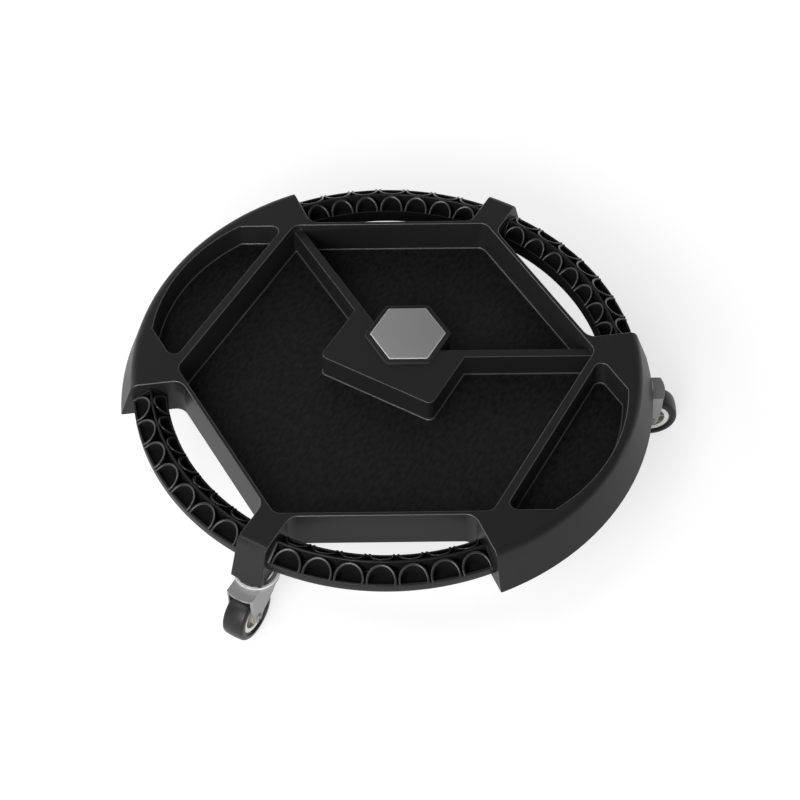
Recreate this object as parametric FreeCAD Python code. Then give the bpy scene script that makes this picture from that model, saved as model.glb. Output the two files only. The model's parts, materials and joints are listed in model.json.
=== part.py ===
import FreeCAD, Part

import math
import os

# Round rolling tool tray: a moulded shell with a hexagonal basin, two side trays and two arms,
# four tread-patterned rails between them, a plain badge, and three swivel casters.
# Frame: floor at z = 0, tray axis on Z, side trays on +X and -X, arms on +Y and -Y.

V = FreeCAD.Vector
ORIGIN = V(0, 0, 0)
AXIS_X = V(1, 0, 0)
AXIS_Y = V(0, 1, 0)
AXIS_Z = V(0, 0, 1)

# Shell: heights and walls
skirt_depth = 39.0
wall = 3.0
cut_margin = 5.0
flat_tolerance = 1e-4

# Shell: outside of the disc
disc_top_radius = 231.5
skirt_flare = 14.5
disc_edge_fillet = 8.0
rim_fillet = 1.2
least_fillet = 0.5

# Shell: gap between hexagon, arm and side-tray end
finger_gap = 29.0
hexagon_outer_flare = 1.7
arm_half_width = 14.1
arm_flare = 1.1
pod_end_angle = 37.2
pod_end_flare = 0.6
gap_corner_fillet = 12.0

# Shell: main basin
basin_land = 3.9
basin_pod_inset = 7.8
floor_lift = 6.6
basin_draft = 2.4
basin_pod_draft = 2.1
basin_corner = 10.0
floor_fillet = 1.5

# Shell: side trays
pod_land = 8.2
pod_end_inset = 0.9
pod_edge_land = 7.3
pod_arc_centre = 54.6
pod_depth = 22.4
pod_draft = 2.6
pod_corner = 7.0

# Shell: centre block, dividers and badge pedestal
block_half_x = 58.3
block_front_y = 22.0
block_corner = 6.0
block_drop = 7.5
block_edge_fillet = 0.8
block_foot = 1.0
divider_offset = 6.7
divider_thickness = 8.4
divider_root = 30.0
pedestal_radius = 40.2
pedestal_rise = 1.8
pedestal_corner = 4.0
badge_centre_y = 39.3
badge_radius = 35.1
badge_thickness = 1.6
badge_sink = 0.8
badge_chamfer = 0.4
badge_clearance = 0.1

# Shell: ribs and caster bosses underneath
rib_thickness = 2.5
floor_rib_height = 5.0
pod_rib_lift = 8.0
pod_rib_step = 13.0
boss_radius = 10.5

# Tread rails
rail_proud = 1.3
rail_width = 31.0
rail_crown_inset = 15.4
rail_drop = 26.3
rail_band = 7.8
rail_crown_drop = 5.3
rail_wall = 2.4
rail_floor_lift = 6.0
rail_ridge = 2.4
rail_end_plate = 2.4
arch_count = 7
arch_rib = 2.0
arch_gap = 1.6
arch_nub = 1.8
arch_toe = 0.5
arch_sink = 0.5
tongue_width = 14.0
tongue_height = 6.0
tongue_lift = 5.5
tongue_clearance = 0.2

# Casters
swivel_inset = 18.0
trail = 21.0
wheel_radius = 25.0
tyre_depth = 8.0
tyre_shoulder = 5.0
leg_clearance = 1.1
core_rim = 3.4
core_rim_inset = 1.2
hub_radius = 8.0
hub_play = 0.4
web_thickness = 3.0
spoke_count = 8
spoke_thickness = 1.8
spoke_inset = 2.2
spoke_sink = 1.5
sheet = 1.8
fork_inner_width = 22.0
crown_clearance = 9.0
crown_overhang = 7.5
crown_bulge = 3.0
cup_radius = 20.0
cup_taper = 14.0
cup_lip = 4.4
leg_tip = 6.0
leg_rear_bow = 2.5
leg_rear_drop = 6.0
race_radius = 15.5
race_height = 4.4
ball_radius = 2.0
ball_circle = 12.0
ball_count = 12
ball_clearance = 0.3
kingpin_radius = 5.0
kingpin_head_radius = 8.0
kingpin_head_taper = 2.4
kingpin_head_height = 2.2
kingpin_reach = 16.0
lower_race_radius = 9.5
lower_race_thickness = 2.5
insert_radius = 7.5
insert_height = 15.0
axle_radius = 3.0
axle_head_radius = 4.6
axle_head_height = 2.2
axle_head_dome = 1.1
sleeve_radius = 4.5
running_clearance = 0.06
seat_clearance = 0.05

core_radius = wheel_radius - tyre_depth
tyre_width = fork_inner_width - 2 * leg_clearance
core_rim_width = tyre_width - 2 * core_rim_inset
hub_length = fork_inner_width - 2 * hub_play
spoke_width = core_rim_width - 2 * spoke_inset
crown_z = 2 * wheel_radius + crown_clearance
crown_reach = trail + crown_overhang
track_z = crown_z + 2 * ball_clearance + 2 * ball_radius
skirt_z = track_z + race_height
rim_z = skirt_z + skirt_depth
basin_depth = skirt_depth - floor_lift
skirt_radius = disc_top_radius + skirt_flare
rail_outer = disc_top_radius + rail_proud
rail_inner = rail_outer - rail_width
rail_crown_radius = rail_outer - rail_crown_inset
hexagon_outer = rail_inner - finger_gap
basin_apothem = hexagon_outer - basin_land
basin_pod_apothem = basin_apothem - basin_pod_inset
pod_inner_x = basin_pod_apothem + pod_land
pod_end_apothem = basin_apothem - pod_end_inset
pod_arc_radius = disc_top_radius - pod_edge_land - pod_arc_centre
swivel_radius = skirt_radius - swivel_inset
floor_z = rim_z - basin_depth
pod_floor_z = rim_z - pod_depth
block_z = rim_z - block_drop
pedestal_z = block_z + pedestal_rise
rail_bottom_z = rim_z - rail_drop
rail_band_z = rail_bottom_z + rail_band
rail_crown_z = rim_z - rail_crown_drop
rail_floor_z = rail_bottom_z + rail_floor_lift
outer_reach = skirt_radius + 4 * cut_margin

CASTERS = {"front": 270.0, "right": 30.0, "left": 150.0}
QUADRANTS = {
    "rear_right": (1, 1),
    "rear_left": (-1, 1),
    "front_left": (-1, -1),
    "front_right": (1, -1),
}


def polar(radius, degrees, z=0.0):
    """Point at a radius and an angle round Z."""
    turn = math.radians(degrees)
    return V(radius * math.cos(turn), radius * math.sin(turn), z)


def crossing(line_a, line_b):
    """Point where two lines meet, each given by its normal's angle and its distance."""
    ax, ay = polar(1, line_a[0])[:2]
    bx, by = polar(1, line_b[0])[:2]
    det = ax * by - ay * bx
    x = (line_a[1] * by - line_b[1] * ay) / det
    y = (ax * line_b[1] - bx * line_a[1]) / det
    return V(x, y, 0)


def corner(line_a, line_b, radius, z):
    """Start, middle and end of the round corner from one line to the next, going anticlockwise."""
    half = math.radians((line_b[0] - line_a[0]) % 360) / 2
    middle_angle = line_a[0] + math.degrees(half)
    meet = crossing(line_a, line_b) + V(0, 0, z)
    tangent = radius * math.tan(half)
    start = meet - polar(tangent, line_a[0] + 90)
    end = meet + polar(tangent, line_b[0] + 90)
    middle = meet - polar(radius / math.cos(half) - radius, middle_angle)
    return start, middle, end


def outline(lines, radii, z):
    """Closed wire round a convex shape of lines in anticlockwise order, with rounded corners."""
    ends = []
    for index, line in enumerate(lines):
        following = lines[(index + 1) % len(lines)]
        ends.append((corner(line, following, radii[index], z), radii[index]))
    edges = []
    for index, ((start, middle, end), radius) in enumerate(ends):
        previous_end = ends[index - 1][0][2]
        edges.append(Part.LineSegment(previous_end, start).toShape())
        if radius > 0:
            edges.append(Part.Arc(start, middle, end).toShape())
    return Part.Wire(edges)


def prism(lines, radii, z_low, z_high):
    """Upright solid on a convex outline."""
    face = Part.Face(outline(lines, radii, z_low))
    return face.extrude(V(0, 0, z_high - z_low))


def drafted(lines_low, lines_high, radii, z_low, z_high):
    """Solid between two like outlines at two heights."""
    wires = [outline(lines_low, radii, z_low), outline(lines_high, radii, z_high)]
    return Part.makeLoft(wires, True, True)


def revolved(points):
    """Solid of revolution round Z from corners given as radius and height."""
    corners = [V(radius, 0, z) for radius, z in points]
    wire = Part.makePolygon(corners + corners[:1])
    return Part.Face(wire).revolve(ORIGIN, AXIS_Z, 360)


def cylinder(radius, z_low, z_high, centre=ORIGIN):
    """Upright cylinder."""
    return Part.makeCylinder(radius, z_high - z_low, V(centre.x, centre.y, z_low), AXIS_Z)


def tube(inner, outer, z_low, z_high):
    """Upright tube round Z."""
    return cylinder(outer, z_low, z_high).cut(cylinder(inner, z_low, z_high))


def joined(shapes):
    """One solid from shapes that meet."""
    return shapes[0].fuse(shapes[1:]).removeSplitter()


def edges_at(shape, z):
    """Edges that lie flat at a height."""
    found = []
    for edge in shape.Edges:
        box = edge.BoundBox
        if max(abs(box.ZMin - z), abs(box.ZMax - z)) < flat_tolerance:
            found.append(edge)
    return found


def mirrored(shape, signs):
    """Copy of a first-quadrant shape for the quadrant with these signs of x and y."""
    copy = shape
    if signs[0] < 0:
        copy = copy.mirror(ORIGIN, AXIS_X)
    if signs[1] < 0:
        copy = copy.mirror(ORIGIN, AXIS_Y)
    return copy


# Shell

def disc(inset):
    """Flared disc with a rounded top edge, set in on all sides; an inset one is open below."""
    slope = (skirt_radius - disc_top_radius) / skirt_depth
    slant = inset * math.hypot(1, slope)
    z_low = skirt_z - (cut_margin if inset else 0)
    z_high = rim_z - inset
    top_radius = disc_top_radius + slope * inset - slant
    low_radius = skirt_radius + slope * (skirt_z - z_low) - slant
    fillet = max(disc_edge_fillet - inset, least_fillet)
    turn = math.pi / 2 - math.atan(slope)
    tangent = fillet * math.tan(turn / 2)
    start = V(top_radius - tangent, 0, z_high)
    end = V(top_radius + tangent * math.cos(turn), 0, z_high - tangent * math.sin(turn))
    centre = start - V(0, 0, fillet)
    middle = centre + V(fillet * math.sin(turn / 2), 0, fillet * math.cos(turn / 2))
    low = V(low_radius, 0, z_low)
    edges = [
        Part.LineSegment(V(0, 0, z_high), start).toShape(),
        Part.Arc(start, middle, end).toShape(),
        Part.LineSegment(end, low).toShape(),
        Part.LineSegment(low, V(0, 0, z_low)).toShape(),
        Part.LineSegment(V(0, 0, z_low), V(0, 0, z_high)).toShape(),
    ]
    return Part.Face(Part.Wire(edges)).revolve(ORIGIN, AXIS_Z, 360)


def gap_lines(grow, end_grow, depth):
    """First-quadrant gap at a depth below the rim, grown into the hexagon and into its two ends."""
    share = depth / skirt_depth
    return [
        (60, outer_reach),
        (180, end_grow - arm_half_width - arm_flare * share),
        (240, grow - hexagon_outer - hexagon_outer_flare * share),
        (pod_end_angle - 90, end_grow - pod_end_flare * share),
    ]


def gap(grow=0.0, end_grow=None):
    """First-quadrant gap through the whole height of the shell."""
    ends = grow if end_grow is None else end_grow
    over = cut_margin
    fillet = gap_corner_fillet + grow
    radii = [0, fillet, fillet, 0]
    low = gap_lines(grow, ends, skirt_depth + over)
    high = gap_lines(grow, ends, -over)
    return drafted(low, high, radii, skirt_z - over, rim_z + over)


def basin_lines(depth, grow):
    """Main hexagonal basin at a depth below the rim."""
    side = basin_apothem - basin_draft * depth / basin_depth + grow
    pod = basin_pod_apothem - basin_pod_draft * depth / basin_depth + grow
    return [(0, pod), (60, side), (120, side), (180, pod), (240, side), (300, side)]


def basin(grow, over=0.0):
    """Main hexagonal basin, grown outwards and downwards by a wall, raised past the rim."""
    low = basin_depth + grow
    radii = [basin_corner + grow] * 6
    return drafted(basin_lines(low, grow), basin_lines(-over, grow), radii, rim_z - low, rim_z + over)


def pod_outline(depth, grow):
    """Side tray at a depth below the rim: straight inner edge, two slant ends and a bowed outer edge."""
    draft = pod_draft * depth / pod_depth - grow
    z = rim_z - depth
    radius = pod_arc_radius - draft
    inner = (180, -(pod_inner_x + draft))
    upper = (60, pod_end_apothem - draft)
    lower = (300, pod_end_apothem - draft)
    centre = V(pod_arc_centre, 0, z)
    reach = upper[1] - pod_arc_centre * math.cos(math.radians(60))
    along = math.sqrt(radius ** 2 - reach ** 2)
    tip = centre + polar(reach, 60) + polar(along, -30)
    mirror_tip = V(tip.x, -tip.y, z)
    fillet = pod_corner + grow
    upper_start, upper_middle, upper_end = corner(upper, inner, fillet, z)
    lower_start, lower_middle, lower_end = corner(inner, lower, fillet, z)
    edges = [
        Part.Arc(mirror_tip, centre + V(radius, 0, 0), tip).toShape(),
        Part.LineSegment(tip, upper_start).toShape(),
        Part.Arc(upper_start, upper_middle, upper_end).toShape(),
        Part.LineSegment(upper_end, lower_start).toShape(),
        Part.Arc(lower_start, lower_middle, lower_end).toShape(),
        Part.LineSegment(lower_end, mirror_tip).toShape(),
    ]
    return Part.Wire(edges)


def pod_tray(grow, over=0.0):
    """Right-hand side tray, grown outwards and downwards by a wall, raised past the rim."""
    wires = [pod_outline(pod_depth + grow, grow), pod_outline(-over, grow)]
    return Part.makeLoft(wires, True, True)


def badge_lines(radius):
    """Hexagon with a corner towards +Y, on the badge's centre."""
    lines = []
    for angle in range(0, 360, 60):
        flat = radius * math.cos(math.radians(30))
        lines.append((angle, flat + badge_centre_y * math.sin(math.radians(angle))))
    return lines


def block_lines(grow):
    """Right half of the centre block; its back edge runs on into the divider."""
    return [
        (0, block_half_x + grow),
        (120, divider_offset + divider_thickness + grow),
        (180, 0),
        (270, block_front_y + grow),
    ]


def pedestal_lines(grow):
    """Pedestal round the badge."""
    return badge_lines(pedestal_radius + grow)


def divider_lines(grow):
    """Right-hand divider from inside the block past the basin's corner, or short of it when set in."""
    floor_lines = basin_lines(basin_depth, 0)
    corner_reach = crossing(floor_lines[0], floor_lines[1]).dot(polar(1, 30))
    return [
        (30, corner_reach + math.copysign(basin_corner, grow)),
        (120, divider_offset + divider_thickness + grow),
        (210, -divider_root),
        (300, grow - divider_offset),
    ]


def centre_boss():
    """Centre block, badge pedestal and the two dividers, each on a slanted foot, with rounded top edges."""
    block_radii = [0, 0, 0, block_corner]
    pedestal_radii = [pedestal_corner] * 6
    foot_z = floor_z + block_foot
    low_z = floor_z - wall / 2
    shapes = [
        (block_lines, block_radii, block_z),
        (divider_lines, [0] * 4, block_z),
        (pedestal_lines, pedestal_radii, pedestal_z),
    ]
    solids = []
    for lines, radii, top in shapes:
        solids.append(prism(lines(0), radii, low_z, top))
        solids.append(drafted(lines(block_foot), lines(0), radii, floor_z, foot_z))
    solids += [solid.mirror(ORIGIN, AXIS_X) for solid in solids]
    boss = joined(solids).common(basin(wall / 2))
    tops = edges_at(boss, block_z) + edges_at(boss, pedestal_z)
    return boss.makeFillet(block_edge_fillet, tops)


def boss_core():
    """Hollow under the centre block, pedestal and dividers, a wall inside them."""
    low_z = floor_z - 2 * wall
    block_radii = [0, 0, 0, max(block_corner - wall, least_fillet)]
    pedestal_radii = [max(pedestal_corner - wall, least_fillet)] * 6
    solids = [
        prism(block_lines(-wall), block_radii, low_z, block_z - wall),
        prism(divider_lines(-wall), [0] * 4, low_z, block_z - wall),
        prism(pedestal_lines(-wall), pedestal_radii, low_z, pedestal_z - badge_sink - wall),
    ]
    solids += [solid.mirror(ORIGIN, AXIS_X) for solid in solids]
    return joined(solids)


def underside_ribs():
    """Radial ribs under the basin floor and in the two side-tray shells."""
    ribs = []
    floor_low = floor_z - wall - floor_rib_height
    for angle in range(30, 360, 60):
        rib = Part.makeBox(basin_apothem, rib_thickness, floor_rib_height + wall / 2)
        rib.translate(V(block_half_x + block_corner, -rib_thickness / 2, floor_low))
        rib.rotate(ORIGIN, AXIS_Z, angle)
        ribs.append(rib.common(basin(wall + floor_rib_height)))
    pod_low = skirt_z + pod_rib_lift
    for side in (0, 180):
        for step in (-1, 0, 1):
            rib = Part.makeBox(outer_reach, rib_thickness, rim_z - wall / 2 - pod_low)
            rib.translate(V(basin_pod_apothem, -rib_thickness / 2, pod_low))
            rib.rotate(ORIGIN, AXIS_Z, side + step * pod_rib_step)
            ribs.append(rib.common(disc(wall / 2)))
    return ribs


def caster_bosses():
    """Solid posts over the casters, up to the shell's top."""
    inner = disc(wall / 2)
    posts = []
    for angle in CASTERS.values():
        post = cylinder(boss_radius, skirt_z, rim_z, polar(swivel_radius, angle))
        posts.append(post.common(inner))
    return posts


def tongue(clearance):
    """Tongues at the two ends of the first-quadrant rail, as long as the shell's wall is thick."""
    width = tongue_width + 2 * clearance
    height = tongue_height + 2 * clearance
    z_low = rail_bottom_z + tongue_lift - clearance
    root = rail_end_plate / 2
    length = wall + root + arm_flare
    arm_end = Part.makeBox(length, width, height)
    arm_end.translate(V(arm_half_width - wall, rail_crown_radius - width / 2, z_low))
    pod_end = Part.makeBox(width, wall + root, height)
    pod_end.translate(V(rail_crown_radius - width / 2, -wall, z_low))
    pod_end.rotate(ORIGIN, AXIS_Z, pod_end_angle)
    return [arm_end, pod_end]


def rounded_floor(room, z):
    """Room with the edges of its floor rounded."""
    return room.makeFillet(floor_fillet, edges_at(room, z))


def on_disc_edge(edge):
    """Whether an edge belongs to the disc's own round top edge."""
    reach = math.hypot(edge.Vertexes[0].X, edge.Vertexes[0].Y)
    round_edge = isinstance(edge.Curve, Part.Circle)
    return round_edge and abs(edge.Curve.Radius - reach) < flat_tolerance and reach > rail_crown_radius


def tray_shell():
    """One moulding: disc with four gaps, hollow underneath, basin and side trays sunk from above."""
    quadrants = list(QUADRANTS.values())
    gaps = [mirrored(gap(), signs) for signs in quadrants]
    grown_gaps = [mirrored(gap(wall), signs) for signs in quadrants]
    pods = [pod_tray(wall), pod_tray(wall).mirror(ORIGIN, AXIS_X)]
    kept = grown_gaps + [basin(wall)] + pods + underside_ribs() + caster_bosses()
    hollow = disc(wall).cut(kept)
    shell = disc(0).cut(gaps + [hollow])
    over = cut_margin
    pod_cut = rounded_floor(pod_tray(0, over), pod_floor_z)
    basin_cut = rounded_floor(basin(0, over), floor_z)
    shell = shell.cut([basin_cut, pod_cut, pod_cut.mirror(ORIGIN, AXIS_X)])
    rim_edges = [edge for edge in edges_at(shell, rim_z) if not on_disc_edge(edge)]
    shell = shell.makeFillet(rim_fillet, rim_edges)
    recess = prism(badge_lines(badge_radius + badge_clearance), [0] * 6, pedestal_z - badge_sink, rim_z)
    shell = shell.fuse(centre_boss()).cut([boss_core(), recess])
    slots = [mirrored(piece, signs) for signs in quadrants for piece in tongue(tongue_clearance)]
    insert_holes = []
    for angle in CASTERS.values():
        hole_radius = insert_radius + seat_clearance
        centre = polar(swivel_radius, angle)
        insert_holes.append(cylinder(hole_radius, skirt_z, skirt_z + insert_height, centre))
        pin_top = skirt_z + kingpin_reach + 2 * seat_clearance
        insert_holes.append(cylinder(kingpin_radius + seat_clearance, skirt_z, pin_top, centre))
    return shell.cut(slots + insert_holes).removeSplitter()


def badge_plate():
    """Plain hexagonal plate in the pedestal's recess."""
    low = pedestal_z - badge_sink
    plate = prism(badge_lines(badge_radius), [0] * 6, low, low + badge_thickness)
    return plate.makeChamfer(badge_chamfer, edges_at(plate, low + badge_thickness))


# Tread rails

def rail_envelope(nub, toe):
    """Full gable section of a rail all round the ring, its two bands pushed out by a nub and a toe."""
    half = rail_ridge / 2
    return revolved([
        (rail_inner - nub, rail_bottom_z),
        (rail_outer + toe, rail_bottom_z),
        (rail_outer + nub, rail_band_z),
        (rail_crown_radius + half, rail_crown_z),
        (rail_crown_radius - half, rail_crown_z),
        (rail_inner - toe, rail_band_z),
    ])


def rail_channel():
    """Floor, two side bands and the crown ridge of a rail all round the ring."""
    inner = rail_inner + rail_wall
    outer = rail_outer - rail_wall
    under = rail_floor_z - rail_wall
    half = rail_ridge / 2
    return revolved([
        (rail_inner, rail_bottom_z),
        (inner, rail_bottom_z),
        (inner, under),
        (outer, under),
        (outer, rail_bottom_z),
        (rail_outer, rail_bottom_z),
        (rail_outer, rail_band_z),
        (outer, rail_band_z),
        (outer, rail_floor_z),
        (rail_crown_radius + half, rail_floor_z),
        (rail_crown_radius + half, rail_crown_z),
        (rail_crown_radius - half, rail_crown_z),
        (rail_crown_radius - half, rail_floor_z),
        (inner, rail_floor_z),
        (inner, rail_band_z),
        (rail_inner, rail_band_z),
    ])


def arches():
    """Upright round ribs on both flanks: each touches the ridge and opens at the band."""
    plate_turn = math.degrees(rail_end_plate / rail_crown_radius)
    arm_turn = math.degrees(math.asin(arm_half_width / rail_crown_radius))
    first = pod_end_angle + plate_turn
    pitch = (90 - arm_turn - plate_turn - first) / arch_count
    half = rail_ridge / 2
    half_pitch = math.radians(pitch) / 2
    outer_arch = (rail_outer * half_pitch) - arch_gap / 2
    outer_centre = rail_crown_radius + half + outer_arch - arch_sink
    inner_arch = (rail_inner * half_pitch) - arch_gap / 2
    inner_centre = rail_crown_radius - half - inner_arch + arch_sink
    ribs = []
    for index in range(arch_count):
        angle = first + (index + 0.5) * pitch
        for radius, centre_radius in ((outer_arch, outer_centre), (inner_arch, inner_centre)):
            ring = tube(radius - arch_rib, radius, rail_floor_z - rail_wall / 2, rim_z)
            ring.translate(polar(centre_radius, angle))
            ribs.append(ring)
    return ribs


def tread_rail():
    """First-quadrant rail: channel, arches and gabled end plates between arm and side tray."""
    envelope = rail_envelope(0, 0)
    room = gap()
    plates = envelope.common(room).cut(gap(0, -rail_end_plate))
    nub_envelope = rail_envelope(arch_nub, arch_toe)
    ribs = [rib.common(nub_envelope) for rib in arches()]
    body = joined([rail_channel().common(room)] + [rib.common(room) for rib in ribs])
    return joined([body, plates] + tongue(0))


# Casters: built on the swivel axis with the wheel trailing along +X

def across(radius_points):
    """Solid of revolution round the wheel axle from corners given as reach along it and radius."""
    corners = [V(trail + radius, along, wheel_radius) for along, radius in radius_points]
    wire = Part.makePolygon(corners + corners[:1])
    return Part.Face(wire).revolve(V(trail, 0, wheel_radius), AXIS_Y, 360)


def fork_side():
    """Side outline of the fork as a block across its width."""
    tip = V(trail, 0, wheel_radius)
    top_front = V(crown_reach + crown_bulge, 0, crown_z)
    top_rear = V(-cup_radius, 0, crown_z)
    rear = V(-cup_radius, 0, crown_z - leg_rear_drop)
    tip_front = tip + V(leg_tip, 0, 0)
    tip_low = tip - V(0, 0, leg_tip)
    tip_rear = tip - V(leg_tip, 0, 0)
    rear_middle = (rear + tip_rear) * 0.5 - V(leg_rear_bow, 0, leg_rear_bow)
    edges = [
        Part.LineSegment(top_rear, top_front).toShape(),
        Part.LineSegment(top_front, tip_front).toShape(),
        Part.Arc(tip_front, tip_low, tip_rear).toShape(),
        Part.Arc(tip_rear, rear_middle, rear).toShape(),
        Part.LineSegment(rear, top_rear).toShape(),
    ]
    face = Part.Face(Part.Wire(edges))
    face.translate(V(0, -cup_radius - cut_margin, 0))
    return face.extrude(V(0, 2 * (cup_radius + cut_margin), 0))


def fork_plan(half_width, reach, bulge, z_high):
    """Plan outline of the fork with a bowed front edge, as an upright block."""
    rear = -half_width
    points = [V(reach, half_width, 0), V(rear, half_width, 0), V(rear, -half_width, 0)]
    last = V(reach, -half_width, 0)
    edges = [
        Part.LineSegment(points[0], points[1]).toShape(),
        Part.LineSegment(points[1], points[2]).toShape(),
        Part.LineSegment(points[2], last).toShape(),
        Part.Arc(last, V(reach + bulge, 0, 0), points[0]).toShape(),
    ]
    return Part.Face(Part.Wire(edges)).extrude(V(0, 0, z_high))


def fork():
    """Pressed fork: round cup with a raised lip, crown over the wheel and two tapering legs."""
    outer_half = fork_inner_width / 2 + sheet
    inner_half = fork_inner_width / 2
    under = crown_z - sheet
    cone = Part.makeCone(outer_half, cup_radius, cup_taper, V(0, 0, crown_z - cup_taper), AXIS_Z)
    cup = Part.makeCone(inner_half, cup_radius - sheet, cup_taper, V(0, 0, under - cup_taper), AXIS_Z)
    solid = fork_plan(outer_half, crown_reach, crown_bulge, crown_z).fuse(cone)
    solid = solid.common(fork_side())
    room = fork_plan(inner_half, crown_reach + 2 * cut_margin, crown_bulge, under)
    back_room = Part.makeBox(2 * cup_radius, fork_inner_width, under - cup_taper / 2)
    back_room.translate(V(-2 * cup_radius, -inner_half, 0))
    solid = solid.cut([cup, room, back_room])
    lip = tube(cup_radius - sheet, cup_radius, crown_z - sheet / 2, crown_z + cup_lip)
    solid = joined([solid, lip])
    pin_hole = cylinder(kingpin_radius + running_clearance, 0, rim_z)
    axle_hole = across([
        (-cup_radius, 0),
        (cup_radius, 0),
        (cup_radius, axle_radius + seat_clearance),
        (-cup_radius, axle_radius + seat_clearance),
    ])
    return solid.cut([pin_hole, axle_hole])


def kingpin():
    """Threaded stem through the crown with a closed head under the lower race."""
    lower_top = crown_z - sheet - ball_clearance
    head_top = lower_top - lower_race_thickness
    head_low = head_top - kingpin_head_height
    shank = cylinder(kingpin_radius, head_low, skirt_z + kingpin_reach)
    low_radius = kingpin_head_radius - kingpin_head_taper
    head = Part.makeCone(low_radius, kingpin_head_radius, kingpin_head_height, V(0, 0, head_low), AXIS_Z)
    return joined([shank, head])


def lower_race():
    """Washer under the crown, held by the kingpin's head."""
    top = crown_z - sheet - ball_clearance
    return tube(kingpin_radius + seat_clearance, lower_race_radius, top - lower_race_thickness, top)


def upper_race():
    """Fixed cup over the balls: a flange against the shell and a tapered track under it."""
    bore = kingpin_radius + seat_clearance
    return revolved([
        (bore, track_z),
        (ball_circle + ball_radius, track_z),
        (race_radius, track_z + ball_radius / 2),
        (race_radius, skirt_z),
        (bore, skirt_z),
    ])


def ball_ring():
    """Balls between the crown and the upper race."""
    z = crown_z + ball_clearance + ball_radius
    balls = []
    for index in range(ball_count):
        balls.append(Part.makeSphere(ball_radius, polar(ball_circle, index * 360 / ball_count, z)))
    return Part.makeCompound(balls)


def stem_insert():
    """Threaded insert in the shell's boss."""
    return tube(kingpin_radius + seat_clearance, insert_radius, skirt_z, skirt_z + insert_height)


def rivet_collar():
    """Domed collar against the second fork leg, with the axle's hole through it."""
    seat = fork_inner_width / 2 + sheet
    top = seat + axle_head_height
    bore = axle_radius + seat_clearance
    return across([
        (seat, bore),
        (seat, axle_head_radius),
        (top - axle_head_dome, axle_head_radius),
        (top, axle_head_radius - axle_head_dome),
        (top, bore),
    ])


def axle_rivet():
    """Axle through both legs with one formed head."""
    seat = fork_inner_width / 2 + sheet
    top = seat + axle_head_height
    return across([
        (-top, 0),
        (top, 0),
        (top, axle_radius),
        (-seat, axle_radius),
        (-seat, axle_head_radius),
        (axle_head_dome - top, axle_head_radius),
        (-top, axle_head_radius - axle_head_dome),
    ])


def axle_sleeve():
    """Spacer tube on the axle between the legs; the wheel turns on it."""
    half = fork_inner_width / 2
    bore = axle_radius + seat_clearance
    return across([(-half, bore), (half, bore), (half, sleeve_radius), (-half, sleeve_radius)])


def wheel_core():
    """Hub, web, rim and spokes of the wheel in one moulding."""
    bore = sleeve_radius + running_clearance
    hub = hub_length / 2
    web = web_thickness / 2
    rim = core_rim_width / 2
    rim_inner = core_radius - core_rim
    disc_shape = across([
        (-hub, bore),
        (hub, bore),
        (hub, hub_radius),
        (web, hub_radius),
        (web, rim_inner),
        (rim, rim_inner),
        (rim, core_radius),
        (-rim, core_radius),
        (-rim, rim_inner),
        (-web, rim_inner),
        (-web, hub_radius),
        (-hub, hub_radius),
    ])
    centre = V(trail, 0, wheel_radius)
    start = hub_radius - spoke_sink
    length = rim_inner + spoke_sink - start
    spokes = []
    for index in range(spoke_count):
        spoke = Part.makeBox(length, spoke_width, spoke_thickness)
        spoke.translate(centre + V(start, -spoke_width / 2, -spoke_thickness / 2))
        spoke.rotate(centre, AXIS_Y, index * 360 / spoke_count)
        spokes.append(spoke)
    return joined([disc_shape] + spokes)


def tyre():
    """Tyre with rounded shoulders on the core's rim."""
    half = tyre_width / 2
    shoulder = wheel_radius - tyre_shoulder
    flat = half - tyre_shoulder
    round_off = tyre_shoulder * (1 - math.sqrt(0.5))

    def spot(along, radius):
        return V(trail + radius, along, wheel_radius)

    edges = [
        Part.LineSegment(spot(-half, core_radius), spot(half, core_radius)).toShape(),
        Part.LineSegment(spot(half, core_radius), spot(half, shoulder)).toShape(),
        Part.Arc(spot(half, shoulder), spot(half - round_off, wheel_radius - round_off),
                 spot(flat, wheel_radius)).toShape(),
        Part.LineSegment(spot(flat, wheel_radius), spot(-flat, wheel_radius)).toShape(),
        Part.Arc(spot(-flat, wheel_radius), spot(round_off - half, wheel_radius - round_off),
                 spot(-half, shoulder)).toShape(),
        Part.LineSegment(spot(-half, shoulder), spot(-half, core_radius)).toShape(),
    ]
    face = Part.Face(Part.Wire(edges))
    return face.revolve(V(trail, 0, wheel_radius), AXIS_Y, 360)


def caster_pieces():
    """Every piece of one caster, by name."""
    return {
        "stem_insert": stem_insert(),
        "kingpin": kingpin(),
        "upper_race": upper_race(),
        "ball_ring": ball_ring(),
        "lower_race": lower_race(),
        "fork": fork(),
        "axle_rivet": axle_rivet(),
        "rivet_collar": rivet_collar(),
        "axle_sleeve": axle_sleeve(),
        "wheel_core": wheel_core(),
        "tyre": tyre(),
    }


def main():
    """Build every piece and write it out."""
    os.makedirs("parts", exist_ok=True)
    pieces = {"tray_shell": tray_shell(), "badge_plate": badge_plate()}
    rail = tread_rail()
    for place, signs in QUADRANTS.items():
        pieces["tread_rail_" + place] = mirrored(rail, signs)
    caster = caster_pieces()
    for place, angle in CASTERS.items():
        for name, shape in caster.items():
            copy = shape.copy()
            copy.rotate(ORIGIN, AXIS_Z, angle)
            copy.translate(polar(swivel_radius, angle))
            pieces[place + "_caster_" + name] = copy
    for name, shape in pieces.items():
        print(name, "valid", shape.isValid(), "solids", len(shape.Solids), "volume", round(shape.Volume))
        shape.exportStep("parts/" + name + ".step")


main()
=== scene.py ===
"""Looks of a round rolling tool tray: black moulded shell, tread rails, plain badge and three swivel casters.

Lengths in the classes are millimetres and are turned into metres where a mesh is made.
"""

import json
import logging
import math
from dataclasses import dataclass
from enum import Enum
from typing import Any, Sequence

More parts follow.
